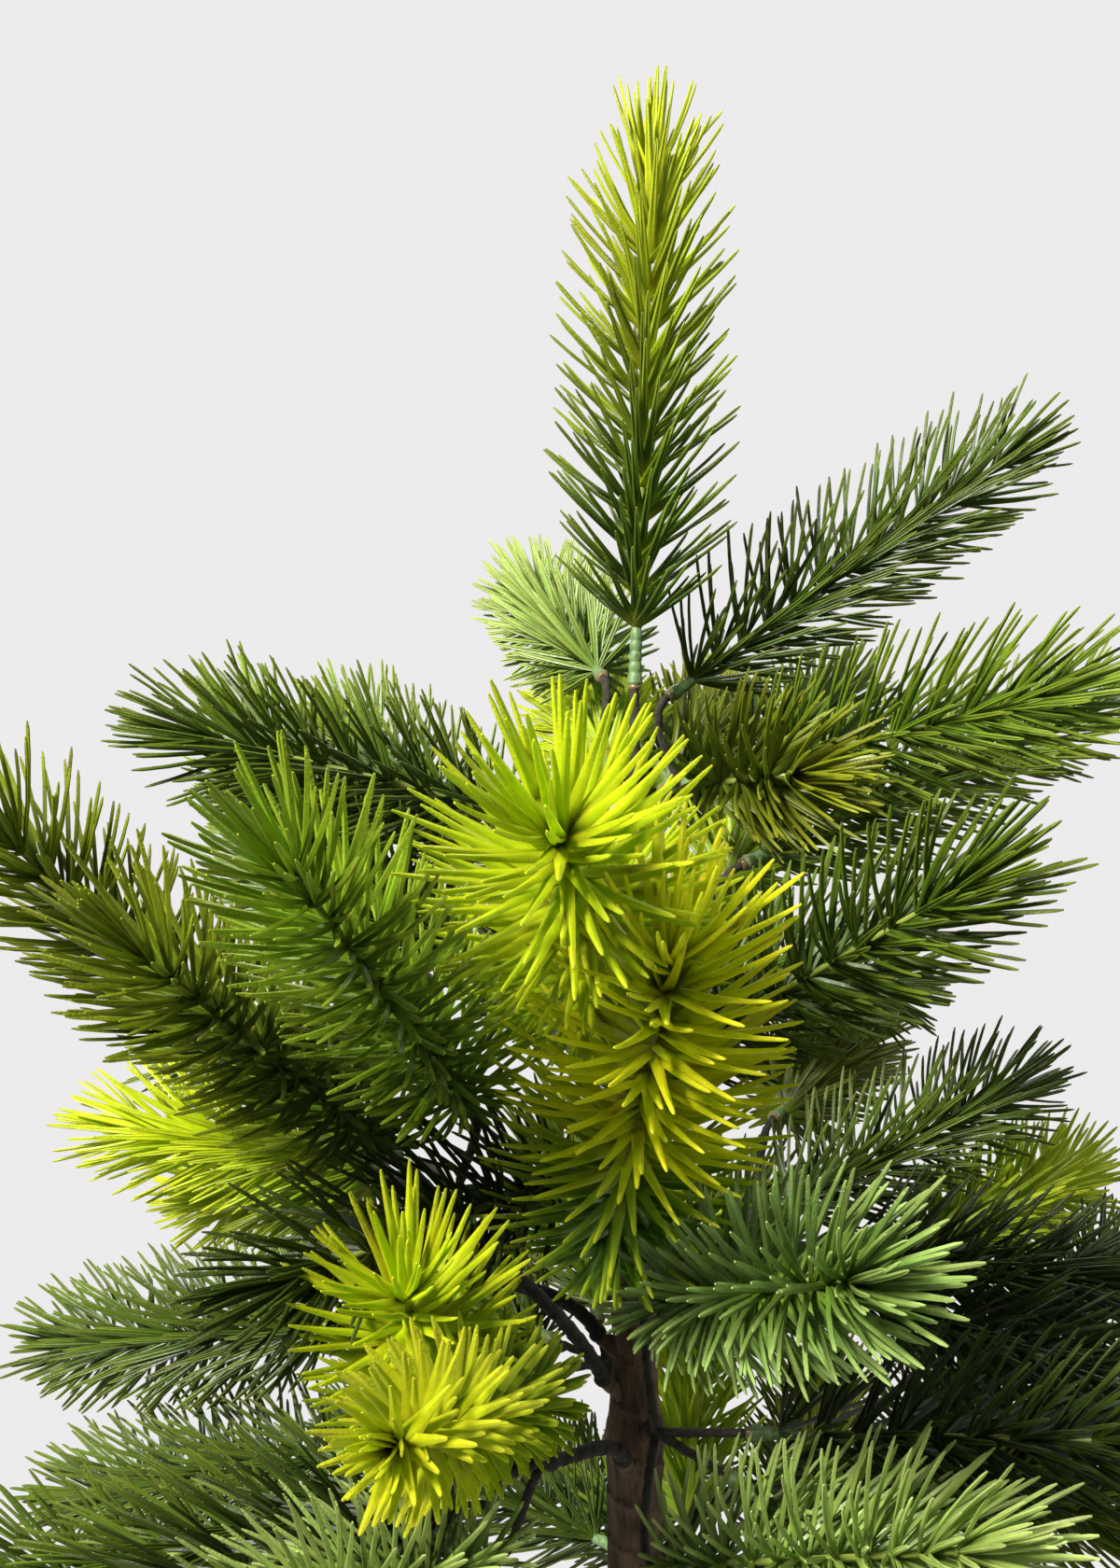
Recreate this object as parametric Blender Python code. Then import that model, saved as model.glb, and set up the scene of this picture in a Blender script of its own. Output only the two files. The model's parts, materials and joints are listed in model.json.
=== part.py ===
"""Artificial tabletop tree: a taped wire trunk with bendable branches, moulded sprigs and a pot.

The origin is the centre of the pad under the pot, +Z is up, and the front of the tree looks along -Y.
Lengths are in metres. Azimuths go round +Z from +X, and elevations are above level, in degrees.
"""

import math

import bmesh
import bpy
from mathutils import Vector
from mathutils.geometry import interpolate_bezier

MM = 0.001
CLEARANCE = 0.3 * MM  # between two pieces that touch

# The pot, its pad and what fills it
PAD_RADIUS = 42 * MM
PAD_THICKNESS = 2 * MM
POT_HEIGHT = 105 * MM
POT_FOOT_RADIUS = 46 * MM
POT_RIM_RADIUS = 62 * MM
POT_WALL = 3 * MM
POT_FLOOR = 4 * MM
POT_LIP = 3 * MM  # how far the rim's roll stands out
POT_LIP_HEIGHT = 10 * MM
WEIGHT_DEPTH = 74 * MM
MOSS_EDGE = 12 * MM  # the moss cover's thickness at the pot's wall
MOSS_CROWN = 20 * MM  # and beside the trunk

# The trunk: a steel rod bound with tape
ROD_RADIUS = 3 * MM
ROD_IN_WEIGHT = 60 * MM
ROD_IN_TRUNK = 150 * MM
TRUNK_FOOT_RADIUS = 8.6 * MM
TRUNK_RADIUS = 7.3 * MM
TRUNK_ABOVE_FIRST_FORK = 5.6 * MM
TRUNK_ABOVE_SECOND_FORK = 4.0 * MM
TRUNK_TOP_RADIUS = 2.4 * MM
FIRST_FORK = 139 * MM  # heights above the pot's rim
SECOND_FORK = 168 * MM
TRUNK_TOP = 298 * MM
FORK_TAPER = 9 * MM

# Where a branch leaves the trunk: a taped stub, and a bead in front of it at which the wire bends
STUB_RADIUS = 2.0 * MM
STUB_LENGTH = 2.5 * MM
STUB_RISE = 40
BEAD_RADIUS = 2.4 * MM

# Branch wires
STEM_RADIUS = 1.9 * MM
TWIG_RADIUS = 1.0 * MM
FORK_BEAD_RADIUS = 2.5 * MM
LEADER_WIRE_RADIUS = 1.1 * MM
STEM_RISE = 60  # the elevation at which a stem sets off from its bead
STEM_SWING = 0.4  # how far it keeps to that direction, as a share of its reach
TWIG_SWING = 0.4  # the same for a twig as it meets its sprig
FORK_SWING = 0.3  # and for stem and twigs at the fork
TWIG_LEAD = 2 * MM  # the straight run in front of a sprig's mouth
STEM_POINTS = 6
TWIG_POINTS = 5

# Sprigs: each is one moulding, a ribbed collar and a spine with needles, seen here by its outline
LEADER_LENGTH = 153 * MM
LONG = 137 * MM
MEDIUM = 118 * MM
SHORT = 98 * MM
COLLAR_LENGTH = 12 * MM
COLLAR_WALL = 0.8 * MM
COLLAR_LIP = 0.5 * MM
BORE_DEPTH = 9 * MM
NEEDLE_SPREAD = 10.5 * MM  # the outline's widest radius
WHORL_NECK = 0.62  # the outline's narrow places, as a share of its width there
WHORLS = 3
WHORL_LIFT = 1.1  # a whorl's widest place above its foot, in pitches
NECK_RISE = 0.12  # from there to the narrow place, in pitches
FIRST_WHORL = 0.8  # the first whorl's width and the tip's, as shares of the spread
TIP_WIDTH = 0.7
TIP_DROP = 0.25  # from the end down to the tip's widest place, in pitches
LEADER_AXIS = (0, 88)  # azimuth and elevation

TURNED_SIDES = 32
TRUNK_SIDES = 10
SPRIG_SIDES = 6

RIM = PAD_THICKNESS + CLEARANCE + POT_HEIGHT
LEADER_BASE = Vector((0, 0, RIM + 333 * MM))

# Each branch: its name, the height above the rim and azimuth at which it leaves the trunk, how much of
# the way to its sprigs it goes before it forks, and its sprigs. A sprig has the centre of its collar's
# mouth (x, y and height above the rim, in millimetres), its azimuth and elevation, and its length.
BRANCHES = (
    ("crown_right", 293, 30, 0.55, (
        ((11, 15, 331), 18, 34, LONG),
        ((10, 40, 305), 75, 15, MEDIUM),
        ((31, 40, 303), 64, 18, MEDIUM),
    )),
    ("crown_left", 268, 140, 0.55, (
        ((-8, 20, 336), 102, 18, MEDIUM),
        ((-6, 31, 311), 93, 15, SHORT),
        ((-30, -5, 283), 125, 23, MEDIUM),
    )),
    ("front_high", 193, 270, 0.55, (
        ((-10, -40, 253), 265, 22, LONG),
        ((-8, -41, 194), 276, 42, LONG),
        ((5, -30, 239), 308, 27, MEDIUM),
    )),
    ("right_high", 238, 15, 0.55, (
        ((29, 0, 286), 27, 20, LONG),
        ((25, 30, 278), 75, 12, SHORT),
        ((20, 40, 243), 82, 5, MEDIUM),
    )),
    ("right_mid", 165, 30, 0.4, (
        ((40, 30, 187), 36, 13, MEDIUM),
        ((44, 60, 208), 66, 5, MEDIUM),
        ((84, 54, 170), 48, 2, MEDIUM),
    )),
    ("left_high", 223, 165, 0.55, (
        ((-82, 5, 271), 112, 25, MEDIUM),
        ((-45, 25, 258), 130, 8, MEDIUM),
        ((-20, 30, 243), 95, 5, MEDIUM),
    )),
    ("left_front", 145, 215, 0.55, (
        ((-40, -60, 233), 257, 29, LONG),
        ((-60, -25, 215), 249, 29, LONG),
        ((-105, 0, 233), 238, 40, MEDIUM),
    )),
    ("left_mid", 155, 178, 0.55, (
        ((-68, 20, 198), 135, -12, SHORT),
        ((-58, 4, 207), 160, 2, SHORT),
        ((-75, -10, 168), 140, -14, LONG),
    )),
    ("left_low", 83, 185, 0.55, (
        ((-75, -5, 133), 140, -20, LONG),
        ((-50, -20, 98), 215, -5, MEDIUM),
        ((-50, 20, 93), 165, -20, MEDIUM),
    )),
    ("front_left", 125, 252, 0.55, (
        ((-50, -45, 155), 270, 38, SHORT),
        ((-25, -51, 165), 260, 16, LONG),
        ((-35, -30, 118), 245, 15, MEDIUM),
    )),
    ("front_right", 133, 292, 0.55, (
        ((3, -30, 180), 285, 18, LONG),
        ((5, -35, 118), 305, 22, MEDIUM),
    )),
    ("right_low", 98, 10, 0.8, (
        ((95, 25, 143), 50, 5, LONG),
        ((75, 0, 111), 38, -2, LONG),
    )),
    ("back_mid", 133, 90, 0.55, (
        ((5, 30, 155), 85, 10, SHORT),
        ((-25, 35, 143), 115, 0, MEDIUM),
    )),
    ("back_low", 73, 85, 0.55, (
        ((17, 40, 93), 87, 18, MEDIUM),
        ((45, 40, 83), 75, 10, MEDIUM),
    )),
)


def clear_scene():
    for ob in list(bpy.data.objects):
        bpy.data.objects.remove(ob, do_unlink=True)


def material(name, colour, roughness, metallic=0.0):
    mat = bpy.data.materials.get(name) or bpy.data.materials.new(name)
    mat.use_nodes = True
    shader = mat.node_tree.nodes["Principled BSDF"]
    shader.inputs["Base Color"].default_value = (*colour, 1)
    shader.inputs["Roughness"].default_value = roughness
    shader.inputs["Metallic"].default_value = metallic
    return mat


def link(name, mesh, mat):
    ob = bpy.data.objects.new(name, mesh)
    bpy.context.scene.collection.objects.link(ob)
    mesh.materials.append(mat)
    return ob


def direction(azimuth, elevation):
    a, e = math.radians(azimuth), math.radians(elevation)
    return Vector((math.cos(e) * math.cos(a), math.cos(e) * math.sin(a), math.sin(e)))


def turned_mesh(name, profile, sides):
    """A closed solid turned about Z from (radius, height) points. Its ends are on the axis or meet."""
    bm = bmesh.new()
    rim = [bm.verts.new((r, 0, z)) for r, z in profile]
    if profile[0][0] > 0:
        rim.append(rim[0])
    edges = [bm.edges.new(pair) for pair in zip(rim, rim[1:])]
    bmesh.ops.spin(
        bm,
        geom=list(bm.verts) + edges,
        cent=(0, 0, 0),
        axis=(0, 0, 1),
        angle=math.tau,
        steps=sides,
        use_merge=True,
    )
    bmesh.ops.remove_doubles(bm, verts=bm.verts, dist=CLEARANCE / 100)
    bmesh.ops.recalc_face_normals(bm, faces=bm.faces)
    mesh = bpy.data.meshes.new(name)
    bm.to_mesh(mesh)
    bm.free()
    mesh.shade_smooth()
    mesh.set_sharp_from_angle(angle=math.radians(35))
    return mesh


def wire_mesh(name, points, radii):
    """A round wire with closed ends through the points."""
    curve = bpy.data.curves.new(name, "CURVE")
    curve.dimensions = "3D"
    curve.bevel_depth = 1
    curve.bevel_resolution = 1
    curve.use_fill_caps = True
    spline = curve.splines.new("POLY")
    spline.points.add(len(points) - 1)
    for place, point, radius in zip(spline.points, points, radii):
        place.co = (*point, 1)
        place.radius = radius
    guide = bpy.data.objects.new(name, curve)
    bpy.context.scene.collection.objects.link(guide)
    mesh = bpy.data.meshes.new_from_object(guide.evaluated_get(bpy.context.evaluated_depsgraph_get()))
    bpy.data.objects.remove(guide)
    bpy.data.curves.remove(curve)
    mesh.name = name
    return mesh


def bead_mesh(name, centre, radius):
    bm = bmesh.new()
    bmesh.ops.create_icosphere(bm, subdivisions=1, radius=radius)
    bmesh.ops.translate(bm, verts=bm.verts, vec=centre)
    mesh = bpy.data.meshes.new(name)
    bm.to_mesh(mesh)
    bm.free()
    return mesh


def join_solids(ob, meshes):
    """Unites the meshes with the object, each through a hidden helper of its own."""
    for mesh in meshes:
        helper = bpy.data.objects.new(mesh.name, mesh)
        bpy.context.scene.collection.objects.link(helper)
        helper.parent = ob.parent
        helper.matrix_parent_inverse = ob.matrix_parent_inverse
        helper.hide_render = True
        helper.display_type = "WIRE"
        union = ob.modifiers.new(mesh.name, "BOOLEAN")
        union.operation = "UNION"
        union.solver = "EXACT"
        union.object = helper


def inner_radius(height):
    """The pot's inside radius at a height above its underside."""
    slope = (POT_RIM_RADIUS - POT_FOOT_RADIUS) / POT_HEIGHT
    return POT_FOOT_RADIUS + slope * height - POT_WALL


def build_base():
    rubber = material("pad_rubber", (0.02, 0.02, 0.02), 0.9)
    shell = material("pot_shell", (0.09, 0.09, 0.085), 0.6)
    cement = material("cement", (0.4, 0.39, 0.37), 0.95)
    moss = material("moss", (0.10, 0.13, 0.03), 0.95)

    pad = [(0, 0), (PAD_RADIUS, 0), (PAD_RADIUS, PAD_THICKNESS), (0, PAD_THICKNESS)]
    link("base_pad", turned_mesh("base_pad", pad, TURNED_SIDES), rubber)

    foot = PAD_THICKNESS + CLEARANCE
    lip = POT_RIM_RADIUS + POT_LIP
    under_lip = POT_HEIGHT - POT_LIP_HEIGHT
    pot = [
        (0, foot),
        (POT_FOOT_RADIUS, foot),
        (inner_radius(under_lip) + POT_WALL, foot + under_lip),
        (lip, foot + under_lip + POT_LIP),
        (lip, foot + POT_HEIGHT),
        (inner_radius(POT_HEIGHT), foot + POT_HEIGHT),
        (inner_radius(POT_FLOOR), foot + POT_FLOOR),
        (0, foot + POT_FLOOR),
    ]
    link("pot", turned_mesh("pot", pot, TURNED_SIDES), shell)

    low = POT_FLOOR + CLEARANCE
    top = low + WEIGHT_DEPTH
    rod_hole = ROD_RADIUS + CLEARANCE
    rod_foot = top - ROD_IN_WEIGHT
    weight = [
        (0, foot + low),
        (inner_radius(low) - CLEARANCE, foot + low),
        (inner_radius(top) - CLEARANCE, foot + top),
        (rod_hole, foot + top),
        (rod_hole, foot + rod_foot),
        (0, foot + rod_foot),
    ]
    link("cast_weight", turned_mesh("cast_weight", weight, TURNED_SIDES), cement)

    sill = top + CLEARANCE
    trunk_hole = TRUNK_FOOT_RADIUS + CLEARANCE
    brim = inner_radius(sill + MOSS_EDGE) - 2 * CLEARANCE
    cover = [
        (trunk_hole, foot + sill),
        (inner_radius(sill) - 2 * CLEARANCE, foot + sill),
        (brim, foot + sill + MOSS_EDGE),
        ((trunk_hole + brim) / 2, foot + sill + (MOSS_EDGE + 2 * MOSS_CROWN) / 3),
        (trunk_hole, foot + sill + MOSS_CROWN),
    ]
    link("moss_cover", turned_mesh("moss_cover", cover, TURNED_SIDES), moss)
    return foot + top, foot + rod_foot


def trunk_outline():
    """(radius, height above the pot's rim) up the taped trunk."""
    return (
        (TRUNK_RADIUS, 0),
        (TRUNK_RADIUS, FIRST_FORK),
        (TRUNK_ABOVE_FIRST_FORK, FIRST_FORK + FORK_TAPER),
        (TRUNK_ABOVE_FIRST_FORK, SECOND_FORK),
        (TRUNK_ABOVE_SECOND_FORK, SECOND_FORK + FORK_TAPER),
        (TRUNK_TOP_RADIUS, TRUNK_TOP),
    )


def trunk_radius(height):
    outline = trunk_outline()
    for (r0, h0), (r1, h1) in zip(outline, outline[1:]):
        if height <= h1:
            return r0 + (r1 - r0) * (height - h0) / (h1 - h0)
    return TRUNK_TOP_RADIUS


def branch_root(height, azimuth):
    """Where the stub ends and where the bead's centre is."""
    out = direction(azimuth, STUB_RISE)
    reach = trunk_radius(height) / math.cos(math.radians(STUB_RISE)) + STUB_LENGTH
    end = Vector((0, 0, RIM + height)) + out * reach
    return end, end + out * (CLEARANCE + BEAD_RADIUS)


def build_trunk(weight_top, rod_foot):
    steel = material("rod_steel", (0.5, 0.5, 0.5), 0.4, 1.0)
    tape = material("trunk_tape", (0.045, 0.028, 0.016), 0.9)
    rod_top = weight_top + ROD_IN_TRUNK
    rod = [
        (0, rod_foot + CLEARANCE),
        (ROD_RADIUS, rod_foot + CLEARANCE),
        (ROD_RADIUS, rod_top - CLEARANCE),
        (0, rod_top - CLEARANCE),
    ]
    link("trunk_rod", turned_mesh("trunk_rod", rod, TRUNK_SIDES), steel)

    bore = (ROD_RADIUS + CLEARANCE) / math.cos(math.pi / TRUNK_SIDES)
    foot = weight_top + CLEARANCE
    outline = [(r, RIM + h) for r, h in trunk_outline()]
    profile = [(0, rod_top), (bore, rod_top), (bore, foot), (TRUNK_FOOT_RADIUS, foot), *outline]
    profile.append((0, RIM + TRUNK_TOP))
    trunk = link("trunk_wrap", turned_mesh("trunk_wrap", profile, TRUNK_SIDES), tape)
    stubs = []
    for name, height, azimuth, _, _ in BRANCHES:
        end, _ = branch_root(height * MM, azimuth)
        start = end - direction(azimuth, STUB_RISE) * (STUB_LENGTH + TRUNK_TOP_RADIUS)
        stubs.append(wire_mesh(f"{name}_stub", [start, end], [STUB_RADIUS] * 2))
    join_solids(trunk, stubs)


def build_leader():
    bark = material("stem_tape", (0.05, 0.04, 0.025), 0.85)
    bead = Vector((0, 0, RIM + TRUNK_TOP + CLEARANCE + BEAD_RADIUS))
    lean = direction(*LEADER_AXIS)
    end = LEADER_BASE + lean * (BORE_DEPTH - CLEARANCE)
    wire = wire_mesh("leader_stem", [bead, LEADER_BASE, end], [LEADER_WIRE_RADIUS] * 3)
    stem = link("leader_stem", wire, bark)
    join_solids(stem, [bead_mesh("leader_bead", bead, BEAD_RADIUS)])
    build_sprig("leader_sprig", LEADER_BASE, lean, LEADER_LENGTH, LEADER_WIRE_RADIUS)


def sprig_profile(length, wire_radius):
    """The outline of a sprig from its bore, round its collar and along its whorls to its tip."""
    bore = (wire_radius + CLEARANCE) / math.cos(math.pi / SPRIG_SIDES)
    collar = bore + COLLAR_WALL
    profile = [
        (0, BORE_DEPTH),
        (bore, BORE_DEPTH),
        (bore, 0),
        (collar + COLLAR_LIP, 0),
        (collar, COLLAR_LENGTH),
    ]
    pitch = (length - COLLAR_LENGTH) / (WHORLS + 1)
    for k in range(WHORLS):
        width = NEEDLE_SPREAD * (FIRST_WHORL if k == 0 else 1)
        top = COLLAR_LENGTH + (k + WHORL_LIFT) * pitch
        profile.append((width, top))
        profile.append((width * WHORL_NECK, top + pitch * NECK_RISE))
    profile.append((NEEDLE_SPREAD * TIP_WIDTH, length - pitch * TIP_DROP))
    profile.append((0, length))
    return profile


def build_sprig(name, base, axis, length, wire_radius):
    green = material("needle_green", (0.05, 0.12, 0.02), 0.5)
    sprig = link(name, turned_mesh(name, sprig_profile(length, wire_radius), SPRIG_SIDES), green)
    sprig.location = base
    sprig.rotation_euler = axis.to_track_quat("Z", "Y").to_euler()
    return sprig


def build_branch(name, height, azimuth, fork_share, sprigs):
    """A taped stem that forks into twigs, with its sprigs, under an empty at its bending place."""
    bark = material("stem_tape", (0.05, 0.04, 0.025), 0.85)
    _, bead = branch_root(height * MM, azimuth)
    bend = bpy.data.objects.new(f"{name}_bend", None)
    bpy.context.scene.collection.objects.link(bend)
    bend.location = bead

    places = []
    for (x, y, z), sprig_azimuth, elevation, length in sprigs:
        base = Vector((x * MM, y * MM, RIM + z * MM))
        places.append((base, direction(sprig_azimuth, elevation), length))
    middle = sum((base for base, _, _ in places), Vector()) / len(places)
    fork = bead.lerp(middle, fork_share)
    onward = (middle - fork).normalized()
    reach = (fork - bead).length
    leaving = bead + direction(azimuth, STEM_RISE) * reach * STEM_SWING
    path = interpolate_bezier(bead, leaving, fork - onward * reach * FORK_SWING, fork, STEM_POINTS)
    stem = link(f"{name}_stem", wire_mesh(f"{name}_stem", path, [STEM_RADIUS] * STEM_POINTS), bark)
    parts = [
        bead_mesh(f"{name}_root_bead", bead, BEAD_RADIUS),
        bead_mesh(f"{name}_fork_bead", fork, FORK_BEAD_RADIUS),
    ]
    for number, (base, axis, length) in enumerate(places, 1):
        mouth = base - axis * TWIG_LEAD
        span = (mouth - fork).length
        arriving = mouth - axis * span * TWIG_SWING
        path = interpolate_bezier(fork, fork + onward * span * FORK_SWING, arriving, mouth, TWIG_POINTS)
        path.append(base + axis * (BORE_DEPTH - CLEARANCE))
        parts.append(wire_mesh(f"{name}_twig_{number}", path, [TWIG_RADIUS] * len(path)))
        sprig = build_sprig(f"{name}_sprig_{number}", base, axis, length, TWIG_RADIUS)
        sprig.parent = bend
        sprig.location -= bead
    stem.parent = bend
    stem.matrix_parent_inverse.translation = -bead
    join_solids(stem, parts)


def main():
    clear_scene()
    weight_top, rod_foot = build_base()
    build_trunk(weight_top, rod_foot)
    build_leader()
    for name, height, azimuth, fork_share, sprigs in BRANCHES:
        build_branch(name, height, azimuth, fork_share, sprigs)


main()
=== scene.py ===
"""The artificial tabletop tree's looks: needles, taped wires, trunk, moss and pot.

Lengths are in metres, azimuths go round +Z from +X, and the front of the tree looks along -Y.
"""

import json
import math

import bmesh
import bpy
import numpy as np
from mathutils import Matrix, Vector
from mathutils.geometry import interpolate_bezier


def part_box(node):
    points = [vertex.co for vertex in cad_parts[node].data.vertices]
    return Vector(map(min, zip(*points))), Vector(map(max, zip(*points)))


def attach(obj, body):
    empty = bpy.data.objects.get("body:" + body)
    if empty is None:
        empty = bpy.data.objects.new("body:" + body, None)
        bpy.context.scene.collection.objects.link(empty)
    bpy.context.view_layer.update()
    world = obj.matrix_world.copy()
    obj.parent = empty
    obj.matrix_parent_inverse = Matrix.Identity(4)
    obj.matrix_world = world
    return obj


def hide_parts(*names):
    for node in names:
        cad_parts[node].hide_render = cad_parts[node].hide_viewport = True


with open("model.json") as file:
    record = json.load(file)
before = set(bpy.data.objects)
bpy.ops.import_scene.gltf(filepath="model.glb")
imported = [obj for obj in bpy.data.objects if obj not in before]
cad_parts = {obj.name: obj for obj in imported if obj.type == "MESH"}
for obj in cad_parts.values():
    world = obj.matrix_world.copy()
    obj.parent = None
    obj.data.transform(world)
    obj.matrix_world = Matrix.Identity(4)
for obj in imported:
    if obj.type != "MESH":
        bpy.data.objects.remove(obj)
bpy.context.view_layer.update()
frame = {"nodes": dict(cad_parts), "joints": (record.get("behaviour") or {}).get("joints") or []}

MM = 0.001

# Sprigs
NEEDLE_LENGTH = 31 * MM
NEEDLE_WIDTH = 1.55 * MM
NEEDLE_THICKNESS = 1.1 * MM
NEEDLE_FORWARD_CURVE = 0.10  # how far a needle's tip leans back to the spine, as a share of its length
NEEDLE_TILTS = (58, 42)  # degrees off the spine, at the sprig's foot and at its end
NEEDLE_RISE = 13  # degrees by which the needles on top stand up more and those below hang less
OUTLINE_INSET = 8 * MM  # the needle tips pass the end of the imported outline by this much
SPINE_SHORT_OF_TIPS = 25 * MM
ROW_PITCH = 9.5 * MM
NEEDLES_IN_ROW = 24
SIDE_COLLAR = 6 * MM
COLLAR_RADIUS = 1.75 * MM
COLLAR_RIB = 0.3 * MM
COLLAR_STEP = 0.35 * MM
COLLAR_FLARE = 0.55 * MM
FLARE_FADE = 0.7 * MM
RIB_PITCH = 2.8 * MM
GLUE_STEPS = 5
GLUE_EDGE = -0.2 * MM  # below this the spine's path is the bead of glue round the wire
SPINE_RADIUS = 0.85 * MM
SPINE_STEP = 4 * MM
SPRIG_SEED = 10
FURTHER_SPRIG_SEED = 200

# The leader, whose needles stand evenly all round
LEADER_INSET = 3 * MM
LEADER_COLLAR = 14 * MM
LEADER_TILTS = (59, 46)
LEADER_SEED = 1

# Taped wires
STEM_GIRTH = 1.9 * MM
TWIG_GIRTH = 1.05 * MM
BEAD_GIRTH = 2.5 * MM
LEADER_WIRE_GIRTH = 1.2 * MM
FORK_SHARE = {"right_mid": 0.4, "right_low": 0.8}  # how far a stem goes before it forks
USUAL_FORK_SHARE = 0.55
STEM_RISE = 60  # degrees by which a stem leaves its bead
STUB_RISE = 40
WIRE_IN_COLLAR = 6 * MM
TWIG_LEAD = 2 * MM  # the straight run in front of a collar

# Windings: the tube's ring spacing and sides, and the width, lift and creases of one turn of tape
STEM_WINDING = {
    "step": 0.6 * MM,
    "sides": 12,
    "pitch": 4.2 * MM,
    "lap": 0.34 * MM,
    "crease": 0.5 * MM,
    "crease_scale": 420.0,
}
LEADER_WINDING = {**STEM_WINDING, "lap": 0.3 * MM, "crease": 0.4 * MM}
STUB_WINDING = {**STEM_WINDING, "sides": 16, "crease": 0.6 * MM, "crease_scale": 300.0}
TRUNK_WINDING = {
    "step": 0.9 * MM,
    "sides": 56,
    "pitch": 12 * MM,
    "lap": 0.55 * MM,
    "crease": 1.1 * MM,
    "crease_scale": 150.0,
}

# Trunk: (girth, height), from the moss to the top
TRUNK_OUTLINE = (
    (8.9 * MM, 0.081),
    (8.1 * MM, 0.100),
    (7.4 * MM, 0.130),
    (7.1 * MM, 0.190),
    (7.2 * MM, 0.232),
    (8.0 * MM, 0.244),
    (6.2 * MM, 0.254),
    (5.6 * MM, 0.266),
    (6.2 * MM, 0.274),
    (4.5 * MM, 0.284),
    (3.8 * MM, 0.310),
    (3.2 * MM, 0.350),
    (2.7 * MM, 0.385),
    (2.4 * MM, 0.4045),
)

# Pot and moss
POT_FLOOR_RADIUS = 0.036
POT_RING_RADII = (0.038, 0.0455)  # of the ring that the pot stands on
POT_SHOULDER_RADIUS = 0.0605
POT_INNER_RADIUS = 0.0440
POT_WALL = 3 * MM
POT_EDGE = 1.2 * MM
MOSS_HOLE = 9.0 * MM
MOSS_SIDE = 12 * MM
MOSS_CROWN = 8 * MM
MOSS_STEPS = 14
MOSS_DENSITY = 95000.0  # tufts on a square metre
MOSS_LUMP = 3.0 * MM
FIBRE_LENGTH = 3.6 * MM
FIBRE_CURL = 0.9 * MM

# The view: level, with the camera's lens for a frame 36 mm across
CAMERA_PLACE = (-0.0195, -0.45, 0.414)
CAMERA_LENS = 39.54
FLOOR_RADIUS = 0.42


# -------------------------------------------------------------------------------------------- nodes


def add(tree, kind, *inputs, **settings):
    """A node with its settings, whose inputs are linked or set in their order. None leaves one alone."""
    made = tree.nodes.new(kind)
    for key, value in settings.items():
        setattr(made, key, value)
    for socket, value in zip(made.inputs, inputs):
        if isinstance(value, bpy.types.NodeSocket):
            tree.links.new(value, socket)
        elif value is not None:
            socket.default_value = value
    return made


def calc(tree, operation, *values):
    return add(tree, "ShaderNodeMath", *values, operation=operation).outputs[0]


def spread(tree, value, low, high, to_low, to_high):
    """The value's stretch from low to high, laid over to_low to to_high."""
    return add(tree, "ShaderNodeMapRange", value, low, high, to_low, to_high).outputs[0]


def mixed(tree, share, a, b):
    made = tree.nodes.new("ShaderNodeMix")
    made.data_type = "RGBA"
    for place, value in ((0, share), (6, a), (7, b)):
        if isinstance(value, bpy.types.NodeSocket):
            tree.links.new(value, made.inputs[place])
        else:
            made.inputs[place].default_value = (*value, 1) if place else value
    return made.outputs[2]


def group(name, inputs):
    """A geometry tree with named inputs, given back with its input sockets and its output node."""
    tree = bpy.data.node_groups.new(name, "GeometryNodeTree")
    tree.interface.new_socket("Geometry", in_out="INPUT", socket_type="NodeSocketGeometry")
    for label, kind in inputs:
        tree.interface.new_socket(label, in_out="INPUT", socket_type=f"NodeSocket{kind}")
    tree.interface.new_socket("Geometry", in_out="OUTPUT", socket_type="NodeSocketGeometry")
    return tree, tree.nodes.new("NodeGroupInput").outputs, tree.nodes.new("NodeGroupOutput")


def grown(name, mesh, tree, place=None, **values):
    """The mesh that a geometry tree makes of this one, as a plain object at the origin."""
    ob = bpy.data.objects.new(name, mesh)
    bpy.context.scene.collection.objects.link(ob)
    modifier = ob.modifiers.new("grow", "NODES")
    modifier.node_group = tree
    for item in tree.interface.items_tree:
        key = item.name.lower().replace(" ", "_")
        if item.in_out == "INPUT" and key in values:
            modifier[item.identifier] = values[key]
    bpy.context.view_layer.update()
    depsgraph = bpy.context.evaluated_depsgraph_get()
    ready = ob.evaluated_get(depsgraph)
    result = bpy.data.meshes.new_from_object(ready, preserve_all_data_layers=True, depsgraph=depsgraph)
    ob.modifiers.remove(modifier)
    ob.data = result
    result.name = name
    if place is not None:
        result.transform(place)
    return ob


# ---------------------------------------------------------------------------------------- materials


def material(name):
    mat = bpy.data.materials.new(name)
    mat.use_nodes = True
    return mat, mat.node_tree, mat.node_tree.nodes["Principled BSDF"]


def attribute(tree, name):
    return add(tree, "ShaderNodeAttribute", attribute_name=name).outputs["Fac"]


def object_place(tree, stretch=(1, 1, 1)):
    where = tree.nodes.new("ShaderNodeTexCoord").outputs["Object"]
    mapping = add(tree, "ShaderNodeMapping", where)
    mapping.inputs["Scale"].default_value = stretch
    return mapping.outputs[0]


def noise(tree, place, scale, detail=3.0, roughness=0.55):
    made = add(tree, "ShaderNodeTexNoise", place, None, scale, detail, roughness)
    return made.outputs[0]


def bump(tree, shader, height, distance, strength=1.0):
    made = add(tree, "ShaderNodeBump")
    made.inputs["Strength"].default_value = strength
    made.inputs["Distance"].default_value = distance
    tree.links.new(height, made.inputs["Height"])
    tree.links.new(made.outputs[0], shader.inputs["Normal"])


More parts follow.
